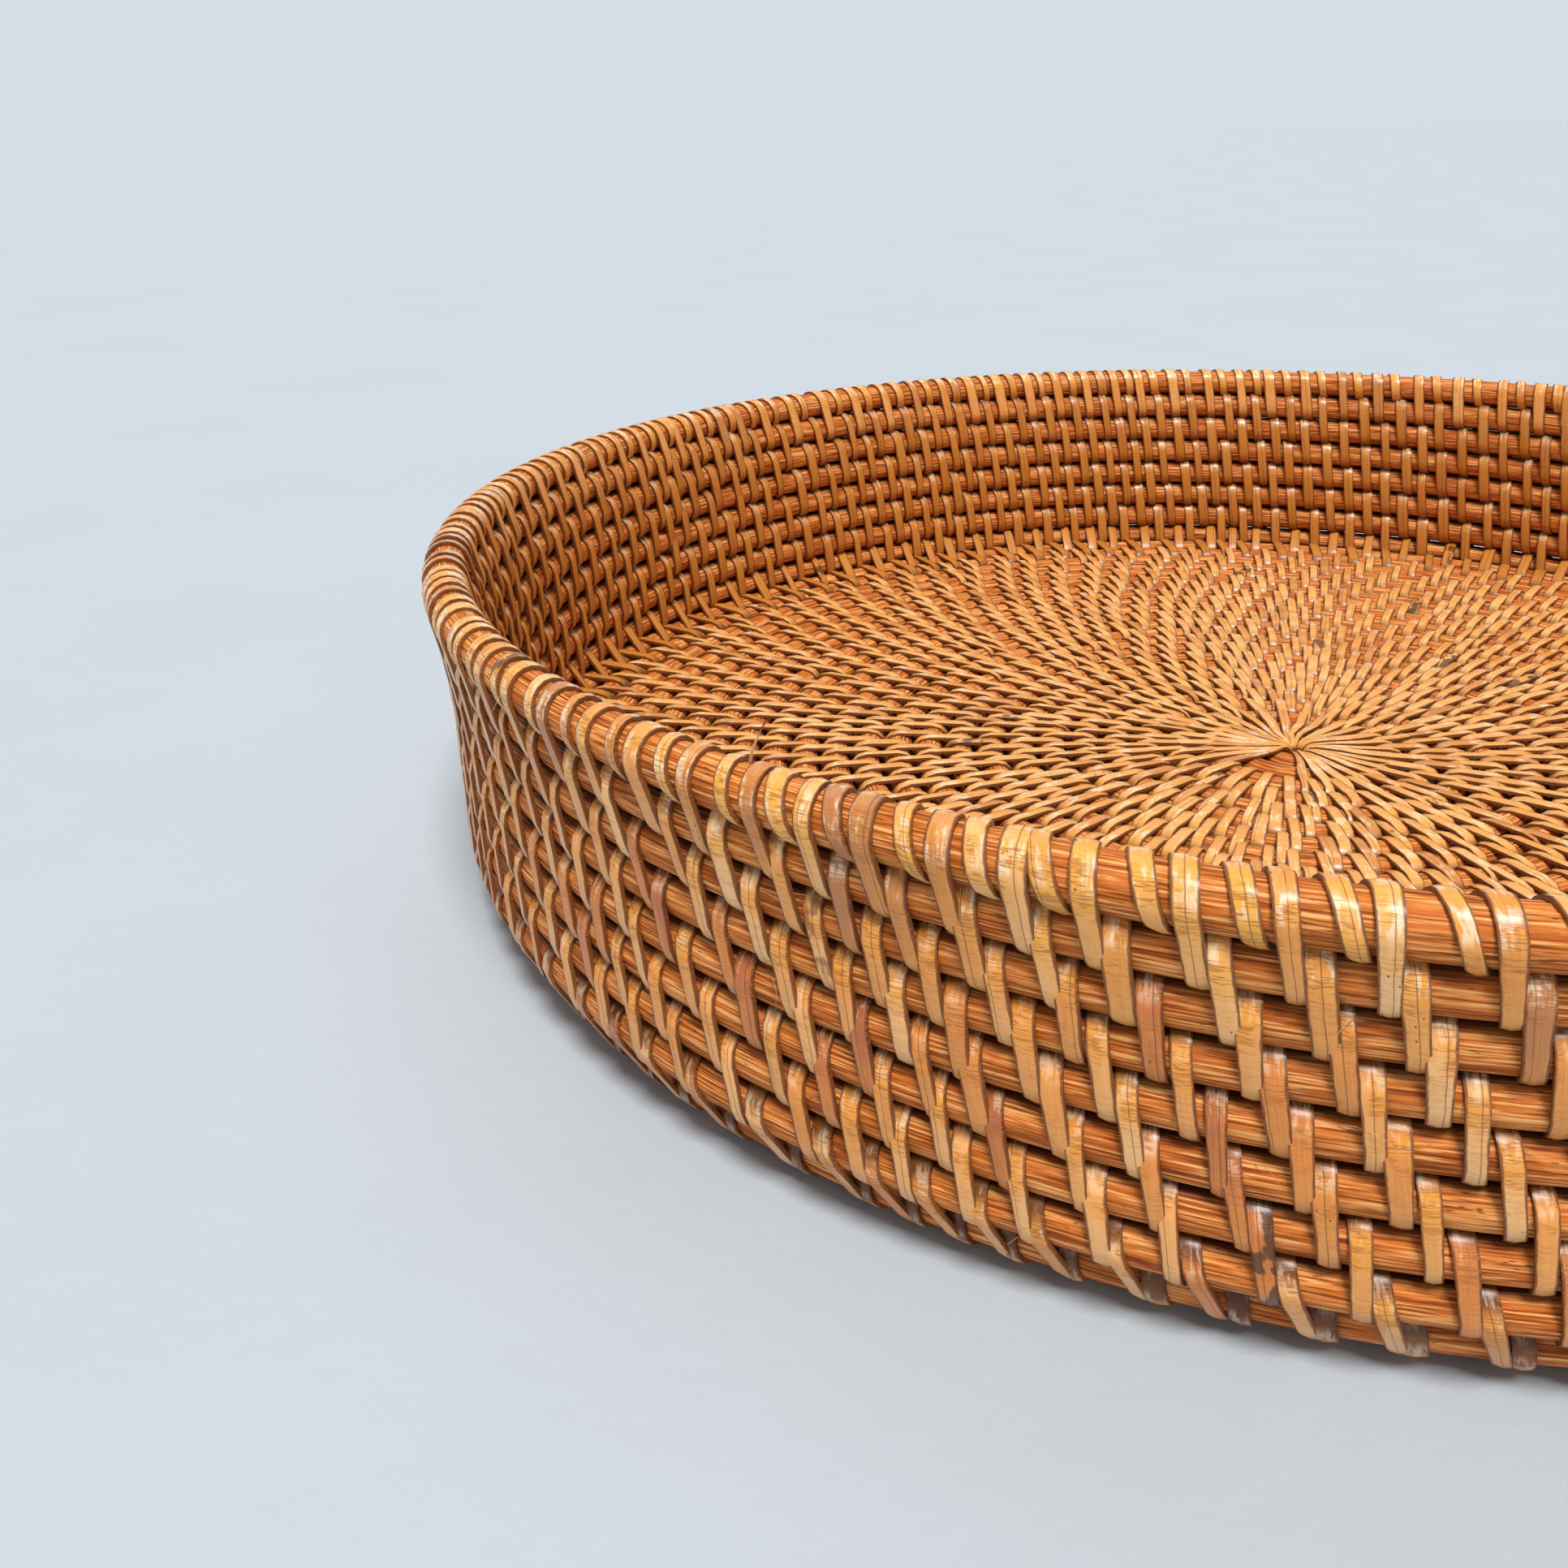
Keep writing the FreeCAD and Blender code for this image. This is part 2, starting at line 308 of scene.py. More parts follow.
def fibrousCane():
    material, tree = newMaterial("fibrousCane")
    grain = attribute(tree, "grain")
    fibres = noise(tree, grain, caneFinish["fibreScale"], 8.0, 0.62)
    threads = noise(tree, grain, caneFinish["threadScale"], 3.0, 0.5)
    patches = noise(tree, grain, caneFinish["patchScale"], 3.0, 0.5)
    mixed = plus(tree, times(tree, fibres, caneFinish["fibreShare"]),
                 times(tree, patches, 1 - caneFinish["fibreShare"]))
    colour = colourRamp(tree, mixed, [
        (0.33, caneFinish["pith"]), (0.43, caneFinish["redBrown"]), (0.53, caneFinish["orange"]),
        (0.69, caneFinish["straw"])])
    pale = stepUp(tree, threads, 0.55, 0.62, caneFinish["paleThreads"])
    colour = blend(tree, pale, colour, caneFinish["straw"])
    dark = stepUp(tree, threads, 0.46, 0.38, caneFinish["darkThreads"])
    colour = blend(tree, dark, colour, caneFinish["pith"])
    pits = times(tree, specks(tree, grain, caneFinish["pitScale"], 0.08, 0.17),
                 stepUp(tree, patches, 0.46, 0.60))
    colour = blend(tree, times(tree, pits, caneFinish["pits"]), colour, caneFinish["pit"])
    # painted shade in the crevice where the cane presses on its neighbour
    creviceShade = stepUp(tree, attribute(tree, "crevice", "Fac"), 0.63, 0.94, caneFinish["creviceShade"])
    colour = blend(tree, creviceShade, colour, caneFinish["paintedShade"])
    smoothness = times(tree, stepUp(tree, fibres, 0.3, 0.7), caneFinish["smoothest"] - caneFinish["roughest"])
    roughness = plus(tree, smoothness, caneFinish["roughest"])
    height = minus(tree, plus(tree, times(tree, threads, caneFinish["threadHeight"]), fibres), pits)
    bump = bumpOf(tree, height, caneFinish["bump"], caneFinish["bumpDepth"])
    surface(tree, colour, roughness, bump, shine=caneFinish["shine"])
    return material


# the peeled strips: glossy, two-toned, whitened over the bend by painted highlight and wear, darkened by
# painted shade where they dive in, cracked, split and spotted

# In each finish: the strength and place of the whitish painted highlight and wear over the bend, and the
# strength of the painted shade at the top, where the strip dives in between the canes
peelFinishes = {
    "wall_strip": {
        "dark": (0.44, 0.125, 0.045),
        "honey": (0.69, 0.230, 0.042),
        "straw": (0.82, 0.365, 0.100),
        "pale": (0.88, 0.49, 0.205),
        "gold": (0.79, 0.315, 0.040),
        "inside": (0.56, 0.205, 0.030),
        "insideShare": 0.85,
        "wearAndSheen": 0.35,
        "wearAndSheenAt": 0.22,
        "topTuck": 0.85,
        "coat": 0.3,
    },
    "rim_strip": {
        "dark": (0.48, 0.19, 0.06),
        "honey": (0.75, 0.285, 0.052),
        "straw": (0.86, 0.405, 0.110),
        "pale": (0.93, 0.55, 0.24),
        "gold": (0.86, 0.40, 0.060),
        "inside": (0.72, 0.28, 0.06),
        "insideShare": 0.4,
        "wearAndSheen": 0.65,
        "wearAndSheenAt": 0.22,
        "topTuck": 0.0,
        "coat": 0.35,
    },
    "floor_strip": {
        "dark": (0.52, 0.19, 0.05),
        "honey": (0.78, 0.34, 0.085),
        "straw": (0.87, 0.44, 0.135),
        "pale": (0.90, 0.54, 0.23),
        "gold": (0.84, 0.38, 0.070),
        "inside": (0.84, 0.38, 0.10),
        "insideShare": 0.3,
        "wearAndSheen": 0.55,
        "wearAndSheenAt": 0.52,
        "topTuck": 0.8,
        "coat": 0.35,
    },
}

peelSkin = {                   # what the three have in common, scales first along the strip
    "fibreScale": (0.22, 7.0, 1.0),
    "patchScale": (0.16, 0.45, 1.0),
    "goldScale": (0.30, 0.30, 1.0),
    "wearAndSheenScale": (0.45, 1.3, 1.0),
    "edgeScale": (0.5, 0.9, 1.0),
    "crackScale": (2.9, 0.20, 1.0),
    "crackedScale": (0.3, 0.3, 1.0),
    "splitScale": (0.35, 0.0, 1.0),
    "spotScale": (0.85, 1.1, 1.0),
    "spottedScale": (0.11, 0.3, 1.0),
    "burntScale": (0.30, 0.5, 1.0),
    # whitish colour of the painted highlight and wear over the bend
    "wearAndSheen": (0.98, 0.80, 0.56),
    "edge": (0.12, 0.027, 0.004),
    "crack": (0.40, 0.130, 0.020),
    "split": (0.18, 0.055, 0.014),
    "mark": (0.045, 0.017, 0.009),
    "edgeDark": 0.88,
    # strength of the painted shade at the lower end, where the strip dives in
    "tuckDark": 0.9,
    "crackDark": 0.72,
    "splitDark": 0.6,
    "markDark": 0.8,
    "toneShare": 0.60,         # how much each adds to the shade
    "fibreShare": 0.38,
    "patchShare": 0.22,
    "lowerEndShare": 0.10,
    "smoothest": 0.13,
    "duller": 0.42,            # how much rougher the patches are
    "edgeDuller": 0.3,
    "fibreHeight": 0.55,
    "crackDepth": 0.8,
    "splitDepth": 1.6,
    "bump": 0.5,
    "bumpDepth": 0.08,         # millimetres
}


def peelCracks(tree, grain, face):                 # fine cracks across the strip, most on the bend
    waves = noise(tree, grain, peelSkin["crackScale"], 2.0, 0.5)
    fromCrack = unsigned(tree, minus(tree, waves, 0.5))
    onBend = times(tree, stepUp(tree, face, 0.06, 0.2), stepUp(tree, face, 0.75, 0.45))
    patches = stepUp(tree, noise(tree, grain, peelSkin["crackedScale"], 2.0), 0.36, 0.52)
    cracked = times(tree, patches, plus(tree, onBend, 0.35, True))
    return times(tree, stepUp(tree, fromCrack, 0.060, 0.012), cracked)


def peelSplits(tree, grain, across, tone):         # one wavering lengthwise split in about half of them
    offset = minus(tree, times(tree, fraction(tree, tone, 7.3), 1.1), 0.55)
    wobble = times(tree, noise(tree, grain, peelSkin["splitScale"], 1.0), 0.16)
    fromSplit = unsigned(tree, minus(tree, plus(tree, across, wobble), offset))
    hasSplit = stepUp(tree, fraction(tree, tone, 13.7), 0.50, 0.56)
    return times(tree, stepUp(tree, fromSplit, 0.075, 0.02), hasSplit)


def peelMarks(tree, grain, tone):                  # clustered spots, and a few burnt strips
    spotted = stepUp(tree, noise(tree, grain, peelSkin["spottedScale"], 1.0), 0.60, 0.66)
    spots = times(tree, specks(tree, grain, peelSkin["spotScale"], 0.07, 0.16), spotted)
    burntPart = stepUp(tree, noise(tree, grain, peelSkin["burntScale"], 2.0), 0.50, 0.58)
    burnt = times(tree, stepUp(tree, fraction(tree, tone, 31.0), 0.984, 0.990), burntPart)
    return calc(tree, "MAXIMUM", spots, burnt)


def peelEdge(tree, grain, across):                 # ragged dark edges
    ragged = times(tree, noise(tree, grain, peelSkin["edgeScale"], 3.0), 0.34)
    return stepUp(tree, plus(tree, unsigned(tree, across), ragged), 0.90, 1.08, peelSkin["edgeDark"])


def peelColour(tree, finish, grain, tone, face, fibres, patches):
    reach = unsigned(tree, face)
    shade = plus(tree, times(tree, tone, peelSkin["toneShare"]), times(tree, fibres, peelSkin["fibreShare"]))
    shade = plus(tree, shade, times(tree, patches, peelSkin["patchShare"]))
    shade = plus(tree, shade, stepUp(tree, face, 0.35, 1.3, peelSkin["lowerEndShare"]))
    colour = colourRamp(tree, shade, [
        (0.34, finish["dark"]), (0.48, finish["honey"]), (0.70, finish["straw"]), (0.95, finish["pale"])])
    golden = times(tree, stepUp(tree, reach, 0.80, 0.40, 0.85),
                   stepUp(tree, noise(tree, grain, peelSkin["goldScale"], 2.0), 0.36, 0.56))
    golden = times(tree, golden, stepUp(tree, tone, 0.26, 0.44))
    colour = blend(tree, golden, colour, finish["gold"])
    inside = times(tree, stepUp(tree, face, 0.05, -0.35), finish["insideShare"])
    colour = blend(tree, inside, colour, finish["inside"])
    # painted shade near the top and at the lower end, where the strip dives in between the canes
    tucked = calc(tree, "MAXIMUM", stepUp(tree, reach, 0.30, 0.12, finish["topTuck"]),
                  stepUp(tree, reach, 1.10, 1.40, peelSkin["tuckDark"]))         # painted shade where it dives in
    colour = blend(tree, tucked, colour, caneFinish["paintedShade"])
    # painted highlight and wear: a patchy whitish band over the bend
    wearAndSheenPatches = noise(tree, grain, peelSkin["wearAndSheenScale"], 3.0, 0.6)
    fromBend = unsigned(tree, minus(tree, reach, finish["wearAndSheenAt"]))
    wearAndSheen = times(tree, stepUp(tree, fromBend, 0.20, 0.08), stepUp(tree, wearAndSheenPatches, 0.46, 0.60, finish["wearAndSheen"]))
    return blend(tree, wearAndSheen, colour, peelSkin["wearAndSheen"])


def peeledStrip(name, finish):
    material, tree = newMaterial(name)
    grain = attribute(tree, "grain")
    look = addNode(tree, "ShaderNodeSeparateXYZ", Vector=attribute(tree, "stripLook"))
    across, tone, face = look.outputs
    fibres = noise(tree, grain, peelSkin["fibreScale"], 6.0, 0.62)
    patches = noise(tree, grain, peelSkin["patchScale"], 3.0, 0.5)
    edge = peelEdge(tree, grain, across)
    cracks = peelCracks(tree, grain, face)
    splits = peelSplits(tree, grain, across, tone)
    marks = peelMarks(tree, grain, tone)
    colour = peelColour(tree, finish, grain, tone, face, fibres, patches)
    colour = blend(tree, edge, colour, peelSkin["edge"])
    colour = blend(tree, times(tree, cracks, peelSkin["crackDark"]), colour, peelSkin["crack"])
    colour = blend(tree, times(tree, splits, peelSkin["splitDark"]), colour, peelSkin["split"])
    colour = blend(tree, times(tree, marks, peelSkin["markDark"]), colour, peelSkin["mark"])
    roughness = plus(tree, times(tree, patches, peelSkin["duller"]), peelSkin["smoothest"])
    roughness = plus(tree, roughness, times(tree, edge, peelSkin["edgeDuller"]), True)
    height = times(tree, fibres, peelSkin["fibreHeight"])
    height = minus(tree, height, times(tree, cracks, peelSkin["crackDepth"]))
    height = minus(tree, height, times(tree, splits, peelSkin["splitDepth"]))
    bump = bumpOf(tree, height, peelSkin["bump"], peelSkin["bumpDepth"])
    surface(tree, colour, roughness, bump, finish["coat"])
    return material


caneMaterial = fibrousCane()
peelMaterials = {slot: peeledStrip("peel_" + slot, finish) for slot, finish in peelFinishes.items()}
print("finishes mixed")


# the cane, spun half a turn at a time

caneLook = {                   # millimetres
    "radius": 2.94,            # a little fuller than the CAD, so that the turns press together
    "floorRadius": 2.86,       # the turns of the floor, which rest on their strips
    "cornerRadius": 3.03,      # the base turn, which closes the corner
    "sides": 14,
    "stepLength": 4.0,
    "fewestSteps": 14,         # in half a turn
    "weld": 0.01,
    "smoothUnder": 50,         # degrees
    "lumps": 0.10,
    "lumpLength": 9.0,
    "grainJump": 137.0,        # per turn, so that two lengths of cane don't show the same fibres
}

fullRadius = caneLook["radius"] * mm
tiny = 1e-4
far = 1e9


def lookRadius(turn):
    if turn < baseStart:
        return caneLook["floorRadius"] * mm
    return caneLook["cornerRadius"] * mm if turn < wallStart else fullRadius


def pressed(turns, grain):     # 1 where the cane presses on the turn before or after it
    steps = np.arange(0, coil["totalTurns"] + 2, 0.25)
    lines = np.array([caneProfile(turn) for turn in steps])
    places = np.clip(turns, 0, coil["totalTurns"])
    places = [places - 1, places, places + 1]
    radii = np.interp(places, steps, lines[:, 0])
    heights = np.interp(places, steps, lines[:, 1])
    closest = np.zeros(len(turns))
    for side in (0, 2):
        out, up = radii[side] - radii[1], heights[side] - heights[1]
        length = np.maximum(np.hypot(out, up), tiny)
        toward = (grain[:, 1] * out + grain[:, 2] * up) / length / caneLook["radius"]
        alone = (turns > coil["totalTurns"] - 1) if side == 2 else (turns < 1)
        closest = np.maximum(closest, np.where(alone, 0, toward))
    return closest


def caneGrain(piece, firstTurn, lastTurn):         # places along and across the straightened cane
    mesh = piece.data
    points = np.empty(len(mesh.vertices) * 3)
    mesh.vertices.foreach_get("co", points)
    points = points.reshape(-1, 3)
    best = np.full(len(points), far)
    grain = np.zeros((len(points), 3))
    turns = np.zeros(len(points))
    travelled = 0.0
    for halfTurn in range(firstTurn * 2, math.ceil(lastTurn * 2)):
        centre, radius, outward, sideways = halfTurnArc(halfTurn)
        local = points - np.array(centre)
        x, y = local @ np.array(outward), local @ np.array(sideways)
        z = local @ np.array(outward.cross(sideways))
        swing = np.arctan2(y, x)
        swing[swing < tiny - math.pi] = math.pi
        radial = np.hypot(x, y) - radius
        off = np.where(swing >= -tiny, np.hypot(radial, z), far)
        closer = off < best - tiny * mm
        best[closer] = off[closer]
        grain[closer, 0] = travelled + swing[closer] * radius
        grain[closer, 1] = radial[closer]
        grain[closer, 2] = z[closer]
        turns[closer] = halfTurn / 2 + swing[closer] / (2 * math.pi)
        travelled += math.pi * radius
    grain /= mm
    grain[:, 0] += firstTurn * caneLook["grainJump"]
    grainData = mesh.attributes.new("grain", "FLOAT_VECTOR", "POINT")
    grainData.data.foreach_set("vector", grain.astype(np.float32).ravel())
    # the crevice mask, which places the painted shade on the cane
    crevice = mesh.attributes.new("crevice", "FLOAT", "POINT")
    crevice.data.foreach_set("value", pressed(turns, grain).astype(np.float32))
    return points, turns


def thinTail(piece, points, turns):
    for index in np.nonzero(turns > thickEnd + tiny)[0]:
        turn = float(min(turns[index], coil["totalTurns"]))
        plain = canePoint(turn)[0]
        centre, running, radius = rimEnd(turn)
        offset = (Vector(points[index]) - plain) * (radius / caneRadius)
        piece.data.vertices[int(index)].co = centre + offset


def addCane(node, firstTurn, lastTurn):
    point, running = canePoint(firstTurn)
    bpy.ops.object.select_all(action="DESELECT")
    bpy.ops.mesh.primitive_circle_add(vertices=caneLook["sides"], radius=lookRadius(firstTurn),
                                      location=point, rotation=running.to_track_quat("Z", "Y").to_euler())
    cane = bpy.context.object
    cane.name = node + "_look"
    bpy.ops.object.transform_apply(location=True, rotation=True, scale=True)
    bpy.ops.object.mode_set(mode="EDIT")
    bpy.ops.mesh.select_all(action="SELECT")
    for halfTurn in range(firstTurn * 2, math.ceil(lastTurn * 2)):
        centre, radius, outward, sideways = halfTurnArc(halfTurn)
        share = min(lastTurn * 2 - halfTurn, 1.0)
        steps = max(caneLook["fewestSteps"], round(math.pi * radius * share / caneLook["stepLength"] / mm))
        bpy.ops.mesh.spin(steps=steps, angle=-math.pi * share, center=centre,
                          axis=outward.cross(sideways))
    bpy.ops.mesh.select_all(action="SELECT")
    bpy.ops.mesh.remove_doubles(threshold=caneLook["weld"] * mm)
    bpy.ops.mesh.fill_holes(sides=caneLook["sides"])
    bpy.ops.mesh.normals_make_consistent(inside=False)
    bpy.ops.object.mode_set(mode="OBJECT")
    points, turns = caneGrain(cane, firstTurn, lastTurn)
    if lastTurn > thickEnd:
        thinTail(cane, points, turns)
    lumps = cane.modifiers.new("lumps", "DISPLACE")
    lumps.texture = lumpTexture
    lumps.strength = caneLook["lumps"] * mm
    lumps.texture_coords = "LOCAL"
    bpy.ops.object.modifier_apply(modifier=lumps.name)
    bpy.ops.object.shade_smooth_by_angle(angle=math.radians(caneLook["smoothUnder"]))
    cane.data.materials.append(caneMaterial)
    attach(cane, "root")
    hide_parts(node)


lumpTexture = bpy.data.textures.new("caneLumps", "CLOUDS")
lumpTexture.noise_scale = caneLook["lumpLength"] * mm

for number, (firstTurn, lastTurn) in enumerate(zip(floorSplits, floorSplits[1:]), start=1):
    addCane("floor_cane_%d" % number, firstTurn, lastTurn)

courses = [("base_%s", baseStart, wallStart)]      # the gap in each name takes cane or lashing
for number, start in enumerate(range(wallStart, rimStart), start=1):
    courses.append(("wall_%%s_%d" % number, start, start + 1))
courses.append(("rim_%s", rimStart, coil["totalTurns"]))
for name, firstTurn, lastTurn in courses:
    addCane(name % "cane", firstTurn, lastTurn)
print("canes coiled")


# the lashing: a flat blank is modelled once and a copy is bent round the canes for each stitch

strip = {                      # millimetres
    "thickness": 0.46,
    "slack": 0.02,
    "crown": 0.34,             # share of the thickness
    "wallWidth": 2.3,
    "floorWidth": 2.0,
    "rimWidth": 2.5,
    "wrapWidth": 2.15,
    "narrowing": 0.16,         # how much a strip narrows towards its lower end
    "leanOut": 2.7,            # how far a strip runs along the coil from its top to its lower end
    "leanIn": 2.5,
    "floorLeanOut": 1.3,
    "floorLeanIn": 0.9,
    "wrapLeanOut": 3.6,
    "wrapLeanIn": 2.0,
    "wrapBack": 0.6,           # a short wrap sits this much further from the long strip
    "leanBalance": 0.35,       # how much of the difference between the two leans is shifted back
    "dip": 0.02,               # between the two canes
    "ripple": 0.05,            # uneven width, as a share of it
    "rippleLength": 4.0,
    "narrowOver": 9.0,
    "bow": 0.05,
    "bowLength": 5.5,
    "twist": 0.16,
    "widthLuck": 0.15,
    "leanLuck": 0.7,
    "placeLuck": 0.22,
    "lowest": 0.03,            # pressed flat underneath, just above the ground
    "bendSteps": 6,            # round half a cane
    "rimBendSteps": 10,
    "wrapBendSteps": 9,
    "smoothUnder": 48,         # degrees
}


def stripBlank(steps):         # a bar one long, one wide and one thick, with a low crown along its top
    bpy.ops.object.select_all(action="DESELECT")
    bpy.ops.mesh.primitive_grid_add(x_subdivisions=steps, y_subdivisions=2, size=1)
    blank = bpy.context.object
    bpy.ops.object.mode_set(mode="EDIT")
    bpy.ops.mesh.select_all(action="SELECT")
    bpy.ops.mesh.extrude_region_move(TRANSFORM_OT_translate={"value": (0, 0, 1)})
    bpy.ops.mesh.select_all(action="DESELECT")
    bpy.ops.object.mode_set(mode="OBJECT")
    for vertex in blank.data.vertices:
        vertex.select = vertex.co.z > 0.5 and abs(vertex.co.y) < 0.1
    bpy.ops.object.mode_set(mode="EDIT")
    bpy.ops.mesh.select_mode(type="VERT")
    bpy.ops.transform.translate(value=(0, 0, strip["crown"]))
    bpy.ops.mesh.select_all(action="DESELECT")
    bpy.ops.object.mode_set(mode="OBJECT")
    for edge in blank.data.edges:
        ends = [blank.data.vertices[index].co for index in edge.vertices]
        edge.select = all(end.z < 0.1 and abs(end.y) < 0.1 for end in ends)
    bpy.ops.object.mode_set(mode="EDIT")
    bpy.ops.mesh.select_mode(type="EDGE")
    bpy.ops.mesh.dissolve_edges(use_verts=False)
    bpy.ops.mesh.select_all(action="SELECT")
    bpy.ops.mesh.normals_make_consistent(inside=False)
    bpy.ops.mesh.select_mode(type="VERT")
    bpy.ops.object.mode_set(mode="OBJECT")
    points = np.array([vertex.co[:] for vertex in blank.data.vertices])
    faces = [list(polygon.vertices) for polygon in blank.data.polygons]
    bpy.data.objects.remove(blank)
    knots = np.rint((points[:, 0] + 0.5) * steps).astype(int)
    return {"knots": knots, "across": points[:, 1], "height": points[:, 2], "faces": faces}


def loopKnots(bendSteps):
    # share of the way from the lower to the upper cane, and the angle round it, from the far
    # side of the lower cane up the inside, over the upper one and down the outside
    quarter = max(bendSteps // 2, 2)
    knots = [(0.0, 180 - 90 * step / quarter) for step in range(quarter + 1)]
    knots.append((0.5, 90))
    knots += [(1.0, 90 - 180 * step / bendSteps) for step in range(bendSteps + 1)]
    knots.append((0.5, -90))
    knots += [(0.0, -90 - 90 * step / quarter) for step in range(quarter + 1)]
    return knots


def ringKnots(bendSteps):
    return [(1.0, 180 - 360 * step / (2 * bendSteps)) for step in range(2 * bendSteps + 1)]


def bendPath(knots, upper, upperRadius, lower, lowerRadius, running):
    reach = upper - lower
    length = reach.length
    reach.normalize()
    inward = reach.cross(running).normalized()
    tilt = math.degrees(math.asin(max(-1, min(1, (lowerRadius - upperRadius) / length))))
    points, normals = [], []
    for share, angle in knots:
        if abs(angle) == 90:
            angle = math.copysign(90 - tilt, angle)
        swing = math.radians(angle)
        normal = reach * math.cos(swing) + inward * math.sin(swing)
        radius = lowerRadius + (upperRadius - lowerRadius) * share
        if share == 0.5:
            radius -= strip["dip"] * mm
        points.append(lower + reach * (length * share) + normal * radius)
        normals.append(normal)
    return np.array(points), np.array(normals)


class StitchSet:               # many bent copies of one blank, gathered into one piece
    def __init__(self, blank):
        self.blank = blank
        self.points, self.faces, self.grain, self.look = [], [], [], []

    def add(self, path, normals, running, width, leanIn, leanOut, luck, apex, taper=None, lifts=None):
        blank = self.blank
        lengths = np.concatenate([[0], np.cumsum(np.linalg.norm(np.diff(path, axis=0), axis=1))])
        fromApex = lengths - lengths[apex]
        shift = np.where(fromApex < 0, leanIn * fromApex / lengths[apex],
                         leanOut * fromApex / (lengths[-1] - lengths[apex]))
        shift = shift - (leanOut - leanIn) * strip["leanBalance"] + luck["place"]
        bow = np.sin(fromApex / (strip["bowLength"] * mm) + luck["phase"]) * luck["bow"]
        ripple = np.sin(lengths / (strip["rippleLength"] * mm) + luck["phase"] * 3)
        widths = (width if taper is None else taper * mm) * (1 + strip["ripple"] * ripple)
        if taper is None:
            lowerEnd = np.clip(fromApex / (strip["narrowOver"] * mm), 0, 1)
            widths = widths * (1 - strip["narrowing"] * lowerEnd ** 2)
        k = blank["knots"]
        offset = shift[k] + bow[k] + blank["across"] * widths[k]
        high = blank["height"] * strip["thickness"] * mm + blank["across"] * luck["twist"]
        if lifts is not None:
            high = high + lifts[k]
        vertices = path[k] + normals[k] * high[:, None] + np.array(running)[None, :] * offset[:, None]
        vertices[:, 2] = np.maximum(vertices[:, 2], strip["lowest"] * mm)
        start = sum(len(part) for part in self.points)
        self.points.append(vertices)
        self.faces += [[start + index for index in face] for face in blank["faces"]]
        alongMm = lengths[k] / mm + luck["grain"]
        acrossMm = blank["across"] * widths[k] / mm + luck["grain"] * 0.37
        self.grain.append(np.stack([alongMm, acrossMm, blank["height"] * 0.4], axis=1))
        face = fromApex[k] / mm / 10               # in centimetres, less than nothing on the inner side
        if taper is not None:                      # the long strips get painted shade only at the hole
            face = np.copysign(centre["unshadedFrom"] + abs(face) * centre["unshadedShare"], face)
        self.look.append(np.stack([blank["across"] * 2, np.full(len(k), luck["tone"]), face], axis=1))

    def finish(self, node, slot):
        mesh = bpy.data.meshes.new(node + "_look")
        mesh.from_pydata(np.concatenate(self.points).tolist(), [], self.faces)
        for name, values in (("grain", self.grain), ("stripLook", self.look)):
            data = mesh.attributes.new(name, "FLOAT_VECTOR", "POINT")
            data.data.foreach_set("vector", np.concatenate(values).astype(np.float32).ravel())
        piece = bpy.data.objects.new(node + "_look", mesh)
        bpy.context.collection.objects.link(piece)
        bpy.ops.object.select_all(action="DESELECT")
        piece.select_set(True)
        bpy.context.view_layer.objects.active = piece
        bpy.ops.object.shade_smooth_by_angle(angle=math.radians(strip["smoothUnder"]))
        mesh.materials.append(peelMaterials[slot])
        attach(piece, "root")
        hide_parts(node)


chance = random.Random(31)


def stripLuck():
    return {
        "place": chance.uniform(-1, 1) * strip["placeLuck"] * mm,
        "phase": chance.uniform(0, 6.28),
        "bow": chance.uniform(0, strip["bow"]) * mm,
        "twist": chance.uniform(-strip["twist"], strip["twist"]) * mm,
        "grain": chance.uniform(0, 900),
        "tone": chance.betavariate(2.2, 2.2),
        "width": 1 + chance.uniform(-1, 1) * strip["widthLuck"],
        "lean": chance.uniform(-1, 1) * strip["leanLuck"] * mm,
    }


def lashTurns(node, slot, turns, bendSteps, width, leanIn, leanOut):
    knots = loopKnots(bendSteps)
    stitches = StitchSet(stripBlank(len(knots) - 1))
    apex = knots.index((1.0, 0.0))
    slack = strip["slack"] * mm
    for turn in turns:
        upper, running, radius = rimEnd(turn)
        lower = canePoint(turn - 1)[0]
        luck = stripLuck()
        radius *= lookRadius(turn) / caneRadius
        path, normals = bendPath(knots, upper, radius + slack, lower, lookRadius(turn - 1) + slack, running)
        stitches.add(path, normals, running, width * luck["width"] * mm, leanIn * mm,
                     leanOut * mm + luck["lean"], luck, apex)
    stitches.finish(node, slot)


def wrapRim(node, slot, turns):
    bendSteps = strip["wrapBendSteps"]
    knots = ringKnots(bendSteps)
    stitches = StitchSet(stripBlank(len(knots) - 1))
    slack = strip["slack"] * mm
    for turn in turns:
        upper, running, radius = rimEnd(turn)
        lower = canePoint(turn - 1)[0]
        luck = stripLuck()
        luck["place"] -= strip["wrapBack"] * mm
        radius = radius * fullRadius / caneRadius + slack
        path, normals = bendPath(knots, upper, radius, lower, radius, running)
        stitches.add(path, normals, running, strip["wrapWidth"] * luck["width"] * mm,
                     strip["wrapLeanIn"] * mm, strip["wrapLeanOut"] * mm + luck["lean"], luck, bendSteps)
    stitches.finish(node, slot)


centre = {                     # millimetres
    "holeReach": 1.7,
    "holeOffset": 1.2,         # the hole sits this far towards +X
    "bend": 1.3,
    "innerWidth": 0.75,
    "outerWidth": 1.9,
    "widensOver": 9.0,
    "pile": 0.35,
    "swirl": 0.9,
    "bareFrom": 0.61,          # the share of a turn, back from the last strip, where the bare wedge starts
    "bareShare": 0.113,
    "darkTone": 0.02,          # of the strip beside the wedge
    # these two keep the painted shade on the long strips to the hole
    "unshadedFrom": 0.22,
    "unshadedShare": 0.4,
}


